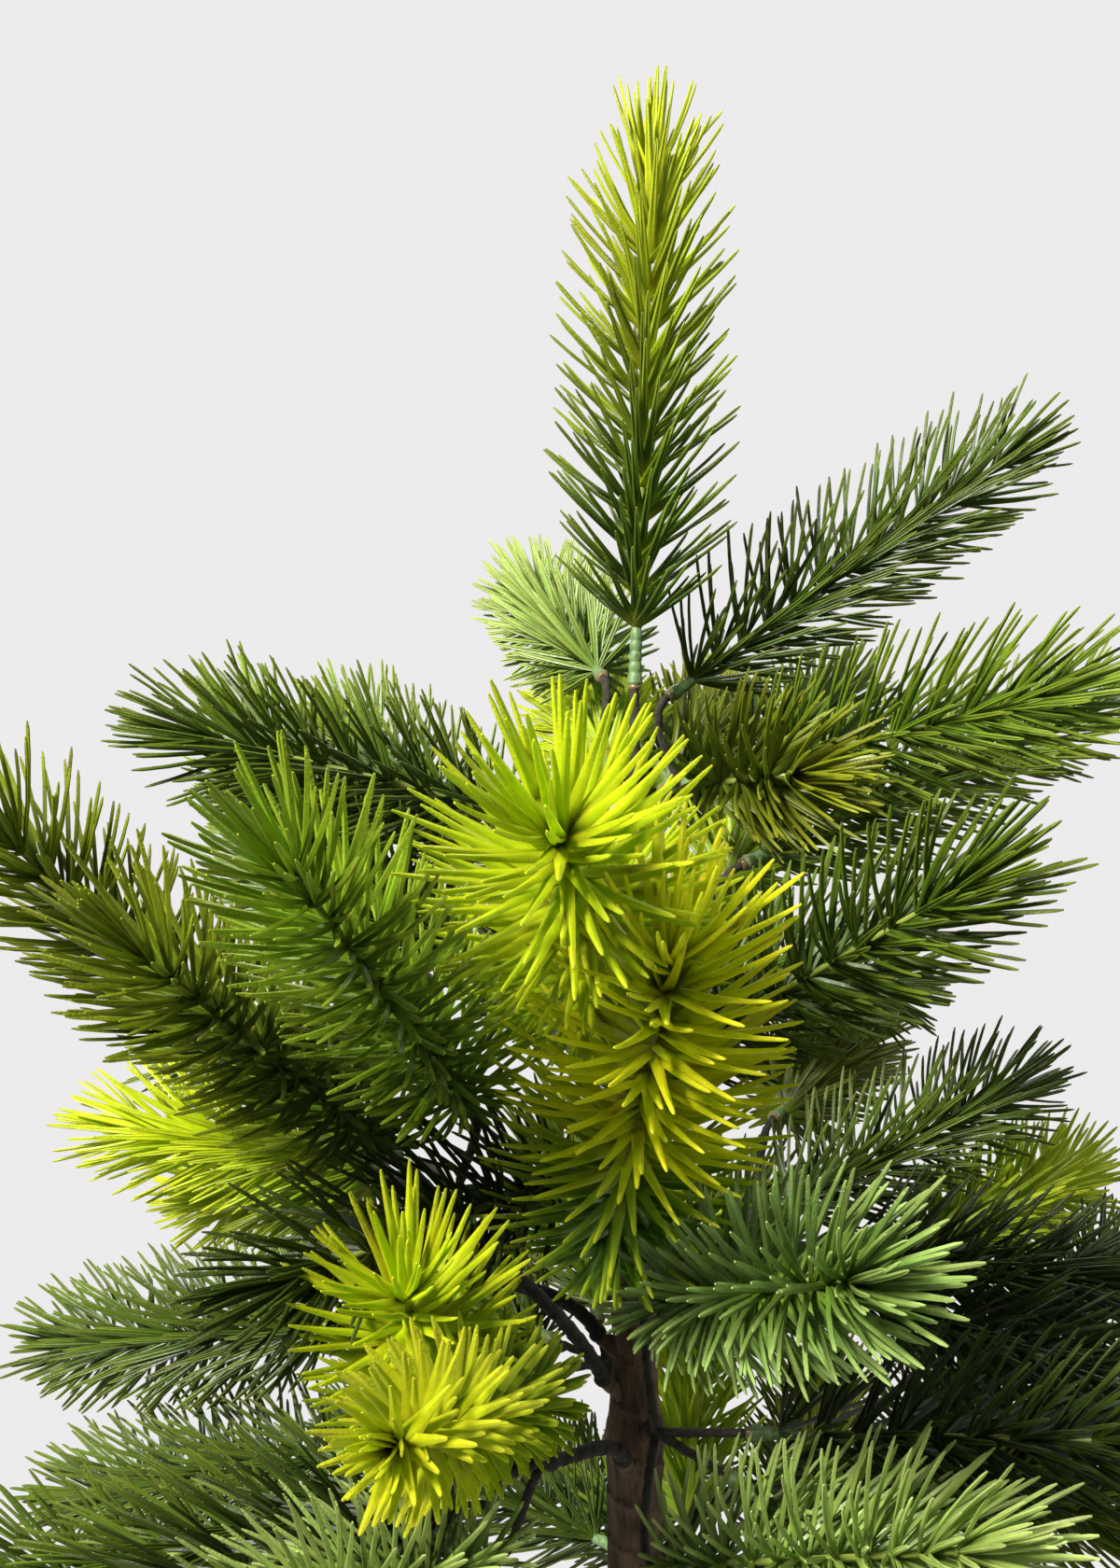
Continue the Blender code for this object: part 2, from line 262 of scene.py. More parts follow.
def needle_plastic(name, low, high, tip, web, turn=(0.15, 0.9), tip_share=0.6, glow=0.12):
    """Moulded needles, coloured from the sprig's foot to its end, with their webs and tips."""
    mat, tree, shader = material(name)
    along = attribute(tree, "along")
    reach = attribute(tree, "reach")
    chance = attribute(tree, "chance")
    place = object_place(tree)
    ripple = noise(tree, place, 140.0)
    wander = calc(tree, "ADD", along, spread(tree, chance, 0, 1, -0.12, 0.12))
    colour = mixed(tree, spread(tree, wander, *turn, 0, 1), low, high)
    tip_here = calc(tree, "MULTIPLY", calc(tree, "POWER", reach, 2.2), tip_share)
    colour = mixed(tree, tip_here, colour, tip)
    web_here = spread(tree, reach, 0.06, 0.30, 0.75, 0)
    colour = mixed(tree, web_here, colour, web)
    value = calc(
        tree,
        "MULTIPLY",
        spread(tree, ripple, 0.3, 0.7, 0.82, 1.14),
        spread(tree, chance, 0, 1, 0.78, 1.16),
    )
    shade = add(tree, "ShaderNodeHueSaturation")
    tree.links.new(value, shade.inputs["Value"])
    tree.links.new(spread(tree, chance, 0, 1, 0.488, 0.510), shade.inputs["Hue"])
    tree.links.new(colour, shade.inputs["Color"])
    tree.links.new(shade.outputs[0], shader.inputs["Base Color"])
    fine = noise(tree, place, 900.0, 2.0)
    dull_end = calc(tree, "POWER", reach, 12)
    satin = spread(tree, fine, 0.3, 0.7, 0.38, 0.56)
    tree.links.new(calc(tree, "MULTIPLY_ADD", dull_end, 0.35, satin), shader.inputs["Roughness"])
    shader.inputs["Subsurface Weight"].default_value = glow
    shader.inputs["Subsurface Radius"].default_value = (0.6, 1.0, 0.15)
    shader.inputs["Subsurface Scale"].default_value = 0.003
    lumps = noise(tree, place, 1500.0, 2.0)
    lumps = calc(tree, "MULTIPLY", lumps, spread(tree, reach, 0.5, 1, 0.4, 1.6))
    bump(tree, shader, lumps, 0.00025, 0.7)
    return mat


def collar_plastic():
    """Pale ribbed moulding, with a run of tan glue where it meets the wire."""
    mat, tree, shader = material("collar_plastic")
    glue = attribute(tree, "glue")
    along = attribute(tree, "along")
    place = object_place(tree)
    ripple = noise(tree, place, 700.0)
    moulded = mixed(tree, spread(tree, ripple, 0.3, 0.7, 0, 1), (0.10, 0.19, 0.06), (0.22, 0.33, 0.13))
    spine = mixed(tree, spread(tree, along, 0.1, 0.3, 0, 1), moulded, (0.26, 0.32, 0.05))
    colour = mixed(tree, glue, spine, (0.23, 0.17, 0.08))
    tree.links.new(colour, shader.inputs["Base Color"])
    tree.links.new(spread(tree, glue, 0, 1, 0.5, 0.22), shader.inputs["Roughness"])
    shader.inputs["Subsurface Weight"].default_value = 0.1
    shader.inputs["Subsurface Radius"].default_value = (0.8, 1.0, 0.4)
    shader.inputs["Subsurface Scale"].default_value = 0.001
    bump(tree, shader, ripple, 0.0002, 0.6)
    return mat


def paper_tape(name, dark, light, stretch, grain, depth):
    """Crepe paper tape: fibres along the wire, mottled, matt, with a painted highlight along the raised edge
    of each turn.
    """
    mat, tree, shader = material(name)
    place = object_place(tree, stretch)
    fibres = noise(tree, place, grain, 6.0, 0.7)
    blotches = noise(tree, object_place(tree), 90.0, 3.0)
    mottle = spread(tree, blotches, 0.3, 0.7, 0.4, 1.2)
    share = calc(tree, "MULTIPLY", spread(tree, fibres, 0.35, 0.7, 0, 1), mottle)
    colour = mixed(tree, share, dark, light)
    # Painted highlight: the raised edge of each turn of tape is mixed towards the light colour
    edge = spread(tree, attribute(tree, "lap"), 0.75, 1, 0, 0.5)
    colour = mixed(tree, edge, colour, light)
    tree.links.new(colour, shader.inputs["Base Color"])
    tree.links.new(spread(tree, fibres, 0.3, 0.7, 0.95, 0.72), shader.inputs["Roughness"])
    shader.inputs["Sheen Weight"].default_value = 0.06
    shader.inputs["Sheen Roughness"].default_value = 0.5
    bump(tree, shader, fibres, depth)
    return mat


def pot_plastic():
    mat, tree, shader = material("pot_plastic")
    place = object_place(tree)
    grit = noise(tree, place, 1400.0, 3.0)
    cloud = noise(tree, place, 25.0, 4.0)
    share = spread(tree, cloud, 0.35, 0.65, 0, 1)
    colour = mixed(tree, share, (0.030, 0.031, 0.030), (0.050, 0.050, 0.048))
    tree.links.new(colour, shader.inputs["Base Color"])
    tree.links.new(spread(tree, cloud, 0.3, 0.7, 0.42, 0.6), shader.inputs["Roughness"])
    bump(tree, shader, grit, 0.00015, 0.7)
    return mat


def moss_fibre():
    mat, tree, shader = material("moss_fibre")
    place = object_place(tree)
    cloud = noise(tree, place, 60.0, 4.0)
    speck = noise(tree, place, 800.0, 2.0)
    share = spread(tree, cloud, 0.35, 0.65, 0, 1)
    colour = mixed(tree, share, (0.045, 0.075, 0.014), (0.16, 0.19, 0.04))
    colour = mixed(tree, spread(tree, speck, 0.55, 0.75, 0, 0.6), colour, (0.22, 0.17, 0.07))
    tree.links.new(colour, shader.inputs["Base Color"])
    shader.inputs["Roughness"].default_value = 0.92
    shader.inputs["Sheen Weight"].default_value = 0.3
    bump(tree, shader, speck, 0.0006, 0.8)
    return mat


def plain_finish(name, dark, light, scale, roughness, metallic, depth, stretch=(1, 1, 1)):
    """Cement, steel and rubber: two shades of one colour in a fine grain."""
    mat, tree, shader = material(name)
    grain = noise(tree, object_place(tree, stretch), scale, 5.0, 0.65)
    colour = mixed(tree, spread(tree, grain, 0.3, 0.7, 0, 1), dark, light)
    tree.links.new(colour, shader.inputs["Base Color"])
    low, high = roughness
    tree.links.new(spread(tree, grain, 0.3, 0.7, low, high), shader.inputs["Roughness"])
    shader.inputs["Metallic"].default_value = metallic
    bump(tree, shader, grain, depth, 0.6)
    return mat


# ------------------------------------------------------------------------------------------ needles


# Needles from root to tip: share of the length, width and thickness
STRAP = (
    (0.00, 0.62, 0.9),
    (0.14, 0.80, 1.0),
    (0.45, 0.92, 1.0),
    (0.75, 0.80, 0.92),
    (0.94, 0.62, 0.82),
    (1.00, 0.28, 0.4),
)
WEBBED = (
    (0.00, 1.75, 0.8),
    (0.14, 1.85, 0.9),
    (0.45, 1.30, 1.0),
    (0.75, 0.88, 0.92),
    (0.94, 0.60, 0.80),
    (1.00, 0.28, 0.4),
)


def needle_blank(name, stations):
    """One needle along +Z: a grooved strap that curves towards -X and narrows to its tip."""
    section = ((-0.5, 0.0), (-0.28, 0.42), (0.0, 0.18), (0.28, 0.42), (0.5, 0.0), (0.0, -0.45))
    bm = bmesh.new()
    reach = bm.verts.layers.float.new("reach")
    rings = []
    for share, width, thickness in stations:
        lean = -NEEDLE_FORWARD_CURVE * NEEDLE_LENGTH * share**2
        ring = []
        for across, out in section:
            y = across * width * NEEDLE_WIDTH
            x = lean + out * thickness * NEEDLE_THICKNESS
            vert = bm.verts.new((x, y, share * NEEDLE_LENGTH))
            vert[reach] = share
            ring.append(vert)
        rings.append(ring)
    for low, high in zip(rings, rings[1:]):
        for k in range(len(section)):
            after = (k + 1) % len(section)
            bm.faces.new((low[k], low[after], high[after], high[k]))
    bm.faces.new(rings[0])
    bm.faces.new(rings[-1])
    bmesh.ops.recalc_face_normals(bm, faces=bm.faces)
    mesh = bpy.data.meshes.new(name)
    bm.to_mesh(mesh)
    bm.free()
    mesh.shade_smooth()
    mesh.set_sharp_from_angle(angle=math.radians(50))
    blank = bpy.data.objects.new(name, mesh)
    bpy.context.scene.collection.objects.link(blank)
    return blank


def sprig_tree():
    """A sprig along +Z: rows of needles round its spine and the swept collar, with +X uppermost."""
    tree, given, out = group("sprig", (
        ("Needle", "Object"),
        ("Needles", "Int"),
        ("Rows", "Int"),
        ("First row", "Float"),
        ("Last row", "Float"),
        ("Low tilt", "Float"),
        ("Tip tilt", "Float"),
        ("Rise", "Float"),
        ("Size", "Float"),
        ("Seed", "Int"),
        ("Plastic", "Material"),
        ("Collar", "Material"),
    ))

    def chance(low, high, salt):
        seed = calc(tree, "ADD", given["Seed"], salt)
        made = add(tree, "FunctionNodeRandomValue", None, None, low, high)
        tree.links.new(seed, made.inputs["Seed"])
        return made.outputs[1]

    index = add(tree, "GeometryNodeInputIndex").outputs[0]
    in_row = calc(tree, "DIVIDE", given["Needles"], calc(tree, "ADD", given["Rows"], 1.0))
    in_row = calc(tree, "CEIL", in_row)
    row = calc(tree, "FLOOR", calc(tree, "DIVIDE", index, in_row))
    along = calc(tree, "DIVIDE", row, given["Rows"])
    jitter = calc(tree, "DIVIDE", chance(-0.22, 0.22, 1), given["Rows"])
    along = add(tree, "ShaderNodeClamp", calc(tree, "ADD", along, jitter)).outputs[0]
    length = calc(tree, "SUBTRACT", given["Last row"], given["First row"])
    height = calc(tree, "MULTIPLY_ADD", along, length, given["First row"])
    turn = calc(tree, "DIVIDE", calc(tree, "MULTIPLY", index, math.tau), in_row)
    turn = calc(tree, "MULTIPLY_ADD", row, 2.4, turn)
    turn = calc(tree, "ADD", turn, chance(-0.14, 0.14, 2))

    eased = calc(tree, "POWER", along, 1.3)
    tilt_span = calc(tree, "SUBTRACT", given["Tip tilt"], given["Low tilt"])
    tilt = calc(tree, "MULTIPLY_ADD", eased, tilt_span, given["Low tilt"])
    gather = spread(tree, along, 0.80, 1.0, 0.0, 1.0)
    inward = calc(tree, "SUBTRACT", 1.0, calc(tree, "MULTIPLY", gather, chance(0.0, 0.95, 3)))
    tilt = calc(tree, "MULTIPLY", tilt, inward)
    lift = calc(tree, "MULTIPLY", given["Rise"], calc(tree, "COSINE", turn))
    lift = calc(tree, "MULTIPLY", lift, spread(tree, along, 0, 1, 1.0, 0.35))
    tilt = calc(tree, "ADD", calc(tree, "ADD", tilt, lift), chance(-0.09, 0.09, 4))
    rotation = add(tree, "ShaderNodeCombineXYZ", chance(-0.08, 0.08, 5), tilt, turn).outputs[0]

    size = calc(tree, "MULTIPLY", given["Size"], chance(0.90, 1.06, 6))
    size = calc(tree, "MULTIPLY", size, spread(tree, along, 0.0, 0.14, 0.84, 1.0))
    size = calc(tree, "MULTIPLY", size, spread(tree, along, 0.8, 1.0, 1.0, 0.90))
    scale = add(tree, "ShaderNodeCombineXYZ", size, 1.0, size).outputs[0]

    line = add(tree, "GeometryNodeMeshLine", given["Needles"]).outputs[0]
    where = add(tree, "ShaderNodeCombineXYZ", 0.0, 0.0, height).outputs[0]
    line = kept(tree, line, "along", along)
    line = kept(tree, line, "chance", chance(0.0, 1.0, 7))
    line = add(tree, "GeometryNodeSetPosition", line, None, where).outputs[0]
    needle = add(tree, "GeometryNodeObjectInfo", given["Needle"]).outputs["Geometry"]
    rows = add(tree, "GeometryNodeInstanceOnPoints", line, None, needle, None, None, rotation, scale)
    needles = add(tree, "GeometryNodeRealizeInstances", rows.outputs[0]).outputs[0]
    needles = add(tree, "GeometryNodeSetMaterial", needles, None, given["Plastic"]).outputs[0]

    girth = add(tree, "GeometryNodeInputNamedAttribute", "girth", data_type="FLOAT").outputs[0]
    circle = add(tree, "GeometryNodeCurvePrimitiveCircle", 10)
    circle.inputs["Radius"].default_value = 1.0
    curve = add(tree, "GeometryNodeMeshToCurve", given["Geometry"]).outputs[0]
    spine = add(tree, "GeometryNodeCurveToMesh", curve, circle.outputs[0], girth, True).outputs[0]
    spine = add(tree, "GeometryNodeSetMaterial", spine, None, given["Collar"]).outputs[0]

    both = tree.nodes.new("GeometryNodeJoinGeometry")
    tree.links.new(spine, both.inputs[0])
    tree.links.new(needles, both.inputs[0])
    tree.links.new(both.outputs[0], out.inputs[0])
    return tree


def kept(tree, geometry, label, value):
    """The geometry with a named value stored at each of its points."""
    made = add(tree, "GeometryNodeStoreNamedAttribute", geometry, None, label, value)
    return made.outputs[0]


def path_mesh(name, points, **values):
    """A mesh of edges through the points, with named values at each."""
    mesh = bpy.data.meshes.new(name)
    mesh.from_pydata([tuple(p) for p in points], [(i, i + 1) for i in range(len(points) - 1)], [])
    for label, numbers in values.items():
        mesh.attributes.new(label, "FLOAT", "POINT").data.foreach_set("value", numbers)
    return mesh


def collar_path(name, spine_end, collar_length):
    """The middle line of a sprig's glue, ribbed collar and spine, with its girth."""
    steps = [k * COLLAR_STEP for k in range(-GLUE_STEPS, int(collar_length / COLLAR_STEP) + 1)]
    spine_steps = int((spine_end - collar_length) / SPINE_STEP)
    steps += [collar_length + k * SPINE_STEP for k in range(1, spine_steps)]
    steps.append(spine_end)
    girths = []
    for height in steps:
        share = height / collar_length
        if height < GLUE_EDGE:
            girth = COLLAR_RADIUS * (0.72 + 0.35 * math.sin(-height / MM * 1.7))
        elif share <= 1:
            rib = abs(math.sin(math.pi * height / RIB_PITCH)) ** 0.6
            flare = COLLAR_FLARE * math.exp(-height / FLARE_FADE)
            girth = COLLAR_RADIUS * (1.05 - 0.18 * share) + COLLAR_RIB * (rib - 0.6) + flare
        else:
            girth = SPINE_RADIUS * (1.25 - 0.55 * height / spine_end)
        girths.append(girth)
    glue = [1.0 if height < GLUE_EDGE else 0.0 for height in steps]
    along = [max(0.0, height / spine_end) for height in steps]
    return path_mesh(name, [(0, 0, height) for height in steps], girth=girths, glue=glue, along=along)


def outline_axis(node):
    """Where a packed sprig outline has its collar's mouth, which way it points and how long it is."""
    mesh = frame["nodes"][node].data
    corners = np.unique(np.round([tuple(v.co) for v in mesh.vertices], 6), axis=0)
    middle = corners.mean(axis=0)
    axis = np.linalg.svd(corners - middle)[2][0]
    run = (corners - middle) @ axis
    near_low = np.sum(run < run.min() + 1 * MM)
    near_high = np.sum(run > run.max() - 1 * MM)
    if near_low < near_high:
        axis, run = -axis, -run
    mouth = Vector(middle + axis * run.min())
    return mouth, Vector(axis), float(run.max() - run.min())


def standing_at(mouth, axis):
    """The place of a sprig made along +Z: +Z on its axis and +X as near to upright as it goes."""
    upright = Vector((0, 0, 1)) if abs(axis.z) < 0.98 else Vector((0, -1, 0))
    side = axis.cross(upright).normalized()
    top = side.cross(axis)
    facing = Matrix((top, side, axis)).transposed()
    return Matrix.Translation(mouth) @ facing.to_4x4()


# -------------------------------------------------------------------------------------------- wires


def tape_tree():
    """A wire bound with tape: a tube with each path's girth, lapped edges and creases."""
    tree, given, out = group("bound_wire", (
        ("Step", "Float"),
        ("Sides", "Int"),
        ("Pitch", "Float"),
        ("Lap", "Float"),
        ("Crease", "Float"),
        ("Crease scale", "Float"),
        ("Tape", "Material"),
    ))
    curve = add(tree, "GeometryNodeMeshToCurve", given["Geometry"]).outputs[0]
    resampled = add(tree, "GeometryNodeResampleCurve", curve, mode="LENGTH")
    tree.links.new(given["Step"], resampled.inputs["Length"])
    run = add(tree, "GeometryNodeSplineParameter").outputs["Length"]
    curve = kept(tree, resampled.outputs[0], "run", run)
    circle = add(tree, "GeometryNodeCurvePrimitiveCircle", given["Sides"])
    circle.inputs["Radius"].default_value = 1.0
    factor = add(tree, "GeometryNodeSplineParameter").outputs["Factor"]
    profile = kept(tree, circle.outputs[0], "turn", factor)
    girth = add(tree, "GeometryNodeInputNamedAttribute", "girth", data_type="FLOAT").outputs[0]
    tube = add(tree, "GeometryNodeCurveToMesh", curve, profile, girth, True).outputs[0]

    run_here = add(tree, "GeometryNodeInputNamedAttribute", "run", data_type="FLOAT").outputs[0]
    turn_here = add(tree, "GeometryNodeInputNamedAttribute", "turn", data_type="FLOAT").outputs[0]
    wound = calc(tree, "ADD", calc(tree, "DIVIDE", run_here, given["Pitch"]), turn_here)
    lap = calc(tree, "FRACT", wound)
    tube = kept(tree, tube, "lap", lap)
    rough = add(tree, "ShaderNodeTexNoise", None, None, given["Crease scale"], 3.0).outputs[0]
    lift = calc(tree, "MULTIPLY", calc(tree, "SUBTRACT", lap, 0.5), given["Lap"])
    crease = calc(tree, "MULTIPLY", calc(tree, "SUBTRACT", rough, 0.5), given["Crease"])
    normal = add(tree, "GeometryNodeInputNormal").outputs[0]
    push = add(tree, "ShaderNodeVectorMath", normal, operation="SCALE")
    tree.links.new(calc(tree, "ADD", lift, crease), push.inputs["Scale"])
    tube = add(tree, "GeometryNodeSetPosition", tube, None, None, push.outputs[0]).outputs[0]
    tube = add(tree, "GeometryNodeSetShadeSmooth", tube, None, True).outputs[0]
    tube = add(tree, "GeometryNodeSetMaterial", tube, None, given["Tape"]).outputs[0]
    tree.links.new(tube, out.inputs[0])
    return tree


def merged_paths(name, paths):
    """One mesh of edges with a girth at each point, from lists of (point, girth)."""
    points, edges, girths = [], [], []
    for path in paths:
        first = len(points)
        points += [tuple(point) for point, _ in path]
        girths += [girth for _, girth in path]
        edges += [(first + i, first + i + 1) for i in range(len(path) - 1)]
    mesh = bpy.data.meshes.new(name)
    mesh.from_pydata(points, edges, [])
    mesh.attributes.new("girth", "FLOAT", "POINT").data.foreach_set("value", girths)
    return mesh


def direction(azimuth, elevation):
    a, e = math.radians(azimuth), math.radians(elevation)
    return Vector((math.cos(e) * math.cos(a), math.cos(e) * math.sin(a), math.sin(e)))


def bezier(a, handle_a, handle_b, b, girths, steps=12):
    """Points from a to b with a girth that runs evenly between the two given."""
    points = interpolate_bezier(a, handle_a, handle_b, b, steps)
    return [(p, girths[0] + (girths[1] - girths[0]) * k / (steps - 1)) for k, p in enumerate(points)]


def knuckle(centre, along, radius):
    """A short path that swells into a round knob, for a bead or a fork."""
    path = []
    steps = 8
    for k in range(steps + 1):
        angle = math.pi * k / steps
        girth = max(radius * math.sin(angle), radius * 0.08)
        path.append((centre - along * radius * math.cos(angle), girth))
    return path


# --------------------------------------------------------------------------------------- the sprigs

BLANKS = {"strap": needle_blank("strap_needle", STRAP), "webbed": needle_blank("webbed_needle", WEBBED)}
SPRIG = sprig_tree()
TAPE = tape_tree()
COLLAR = collar_plastic()

GREEN_WEB = (0.14, 0.22, 0.012)
LIME_WEB = (0.46, 0.58, 0.01)
PLASTICS = {
    "leader": needle_plastic(
        "needles_leader",
        (0.050, 0.100, 0.007), (0.54, 0.59, 0.010), (0.44, 0.54, 0.05), (0.44, 0.50, 0.015),
        turn=(0.28, 1.0), tip_share=0.35, glow=0.2),
    # Painted shade: a green darker than the dark green, for sprigs set where the tree's own shadow falls
    "painted_shade": needle_plastic(
        "needles_deep_green",
        (0.014, 0.028, 0.001), (0.024, 0.042, 0.002), (0.07, 0.10, 0.006), (0.05, 0.08, 0.006)),
    "dark": needle_plastic(
        "needles_dark_green",
        (0.038, 0.074, 0.003), (0.066, 0.116, 0.004), (0.17, 0.22, 0.012), (0.08, 0.13, 0.01)),
    "green": needle_plastic(
        "needles_green",
        (0.072, 0.136, 0.006), (0.120, 0.205, 0.008), (0.27, 0.33, 0.02), GREEN_WEB),
    "bright": needle_plastic(
        "needles_bright_green",
        (0.120, 0.220, 0.007), (0.205, 0.330, 0.009), (0.37, 0.46, 0.02), GREEN_WEB),
    "tipped": needle_plastic(
        "needles_yellow_ends",
        (0.066, 0.120, 0.003), (0.165, 0.215, 0.004), (0.34, 0.37, 0.01), GREEN_WEB,
        turn=(0.35, 1.0)),
    "pale_tips": needle_plastic(
        "needles_pale_tips",
        (0.042, 0.094, 0.006), (0.090, 0.170, 0.012), (0.40, 0.56, 0.15), GREEN_WEB,
        tip_share=0.8),
    "pale": needle_plastic(
        "needles_pale_green",
        (0.170, 0.270, 0.030), (0.300, 0.420, 0.075), (0.58, 0.70, 0.22), (0.2, 0.3, 0.06)),
    "olive": needle_plastic(
        "needles_olive",
        (0.080, 0.115, 0.004), (0.180, 0.215, 0.004), (0.32, 0.34, 0.01), GREEN_WEB),
    "lime": needle_plastic(
        "needles_lime",
        (0.20, 0.33, 0.006), (0.56, 0.68, 0.004), (0.62, 0.72, 0.02), LIME_WEB,
        turn=(0.1, 0.6), tip_share=0.5, glow=0.5),
    "lime_head": needle_plastic(
        "needles_lime_head",
        (0.105, 0.235, 0.012), (0.84, 0.90, 0.004), (0.80, 0.86, 0.02), GREEN_WEB,
        turn=(0.22, 0.48), tip_share=0.5, glow=0.8),
    "bright_lime": needle_plastic(
        "needles_bright_lime",
        (0.34, 0.49, 0.003), (0.48, 0.58, 0.003), (0.54, 0.64, 0.01), LIME_WEB,
        turn=(0.05, 0.5), tip_share=0.4, glow=0.6),
    "yellow": needle_plastic(
        "needles_yellow_lime",
        (0.110, 0.210, 0.006), (0.44, 0.48, 0.003), (0.55, 0.60, 0.01), GREEN_WEB,
        turn=(0.30, 0.72), tip_share=0.6, glow=0.5),
}
# The tones whose needles are broad and webbed together at their roots
WEBBED_TONES = ("leader", "lime", "lime_head", "bright_lime", "yellow", "olive")

# The tone of each sprig on a branch, in the order of its nodes
TONES = {
    "crown_right": ("dark", "olive", "dark"),
    "crown_left": ("pale", "bright_lime", "green"),
    "front_high": ("bright_lime", "lime_head", "dark"),
    "right_high": ("green", "lime", "dark"),
    "right_mid": ("dark", "olive", "lime"),
    "left_high": ("green", "dark", "dark"),
    "left_front": ("bright", "tipped", "tipped"),
    "left_mid": ("lime", "lime", "dark"),
    "left_low": ("dark", "dark", "green"),
    "front_left": ("bright_lime", "yellow", "pale"),
    "front_right": ("pale_tips", "pale"),
    # Painted shade: this branch's first sprig is in the darkest green, for the shadow low on the right
    "right_low": ("painted_shade", "tipped"),
    "back_mid": ("lime", "dark"),
    "back_low": ("lime", "olive"),
}

# Sprigs whose needles differ from the others': tilts at the foot and at the end, and size
SHAPES = {
    "front_left_sprig_1": ((64, 52), 1.0),
    "front_left_sprig_2": ((62, 56), 0.66),
    "front_high_sprig_1": ((66, 54), 1.18),
    "front_high_sprig_2": ((76, 54), 1.12),
}

# Further sprigs: azimuth, elevation, distance from the branch's fork to the collar, length and tone
MEDIUM, SHORT, STUBBY = 125 * MM, 105 * MM, 72 * MM
# The further sprigs in the darkest green are painted shade, filling the shadowed right and inside of the
# tree
FURTHER_SPRIGS = {
    "crown_right": (
        (330, 12, 0.020, SHORT, "green"),
        (298, 2, 0.006, STUBBY, "olive"),
    ),
    "crown_left": (
        (190, 14, 0.022, SHORT, "dark"),
    ),
    "right_high": (
        (50, -8, 0.024, SHORT, "green"),
    ),
    "left_high": (
        (180, 46, 0.022, SHORT, "green"),
        (150, -10, 0.028, SHORT, "green"),
    ),
    "right_mid": (
        (5, -6, 0.022, SHORT, "painted_shade"),
        (340, -14, 0.026, MEDIUM, "painted_shade"),
    ),
    "front_high": (
        (225, -6, 0.020, SHORT, "painted_shade"),
    ),
    "front_left": (
        (215, -4, 0.020, SHORT, "painted_shade"),
        (190, -10, 0.022, SHORT, "dark"),
    ),
    "front_right": (
        (335, 8, 0.026, MEDIUM, "painted_shade"),
        (320, -14, 0.024, SHORT, "pale"),
    ),
    "right_low": (
        (12, 8, 0.014, SHORT, "painted_shade"),
        (345, -6, 0.014, SHORT, "tipped"),
        (65, -8, 0.020, SHORT, "dark"),
    ),
    "left_low": (
        (245, -12, 0.024, MEDIUM, "dark"),
        (190, 4, 0.026, MEDIUM, "dark"),
    ),
    "back_mid": (
        (60, 14, 0.022, SHORT, "dark"),
        (140, 10, 0.022, MEDIUM, "green"),
        (100, 24, 0.020, SHORT, "tipped"),
    ),
    "back_low": (
        (110, -6, 0.024, MEDIUM, "green"),
        (140, 4, 0.028, MEDIUM, "dark"),
        (45, -4, 0.026, MEDIUM, "green"),
    ),
}


def make_sprig(
    name,
    mouth,
    axis,
    length,
    tone,
    seed,
    tilts=NEEDLE_TILTS,
    rise=NEEDLE_RISE,
    size=1.0,
    collar=SIDE_COLLAR,
):
    """One moulded sprig, with its needles, spine and collar, in one piece."""
    spine_end = length - SPINE_SHORT_OF_TIPS * size
    rows = round((spine_end - collar) / ROW_PITCH)
    return grown(
        name,
        collar_path(name, spine_end, collar),
        SPRIG,
        standing_at(mouth, axis),
        needle=BLANKS["webbed" if tone in WEBBED_TONES else "strap"],
        needles=(rows + 1) * NEEDLES_IN_ROW,
        rows=rows,
        first_row=collar + 0.5 * MM,
        last_row=spine_end,
        low_tilt=math.radians(tilts[0]),
        tip_tilt=math.radians(tilts[1]),
        rise=math.radians(rise),
        size=size,
        seed=seed,
        plastic=PLASTICS[tone],
        collar=COLLAR,
    )


def make_leader():
    mouth, axis, length = outline_axis("leader_sprig")
    sprig = make_sprig(
        "leader_needles",
        mouth,
        axis,
        length + LEADER_INSET,
        "leader",
        LEADER_SEED,
        LEADER_TILTS,
        rise=0,
        collar=LEADER_COLLAR,
    )
    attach(sprig, "leader")
    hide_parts("leader_sprig")


def fork_of(branch, bead, mouths):
    """Where a branch's stem forks, on the way to the middle of its sprigs, and that middle."""
    middle = sum((mouth for mouth, _ in mouths), Vector()) / len(mouths)
    return bead.lerp(middle, FORK_SHARE.get(branch, USUAL_FORK_SHARE)), middle


def make_further_sprigs():
    """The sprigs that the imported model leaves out. It gives their mouths and axes for the stems."""
    seed = FURTHER_SPRIG_SEED
    joints = branch_joints()
    made = {}
    for branch, sprigs in FURTHER_SPRIGS.items():
        mouths = [outline_axis(f"{branch}_sprig_{k}")[:2] for k in range(1, len(TONES[branch]) + 1)]
        fork, _ = fork_of(branch, joints[branch][0], mouths)
        made[branch] = []
        for number, (azimuth, elevation, distance, length, tone) in enumerate(sprigs, 1):
            axis = direction(azimuth, elevation)
            mouth = fork + axis * distance
            seed += 1
            sprig = make_sprig(f"{branch}_further_{number}_needles", mouth, axis, length, tone, seed)
            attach(sprig, branch)
            made[branch].append((mouth, axis))
    return made


def make_branch_sprigs():
    seed = SPRIG_SEED
    for branch, tones in TONES.items():
        for number, tone in enumerate(tones, 1):
            node = f"{branch}_sprig_{number}"
            mouth, axis, length = outline_axis(node)
            seed += 1
            tilts, size = SHAPES.get(node, (NEEDLE_TILTS, 1.0))
            length += OUTLINE_INSET * size
            sprig = make_sprig(f"{node}_needles", mouth, axis, length, tone, seed, tilts, size=size)
            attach(sprig, branch)
            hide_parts(node)


# ---------------------------------------------------------------------------------------- the stems

STEM_TAPE = paper_tape(
    "stem_tape", (0.014, 0.013, 0.008), (0.060, 0.048, 0.028), (1, 1, 1), 420.0, 0.0004)
TRUNK_TAPE = paper_tape(
    "trunk_tape", (0.046, 0.025, 0.012), (0.270, 0.165, 0.092), (1, 1, 0.22), 330.0, 0.0007)


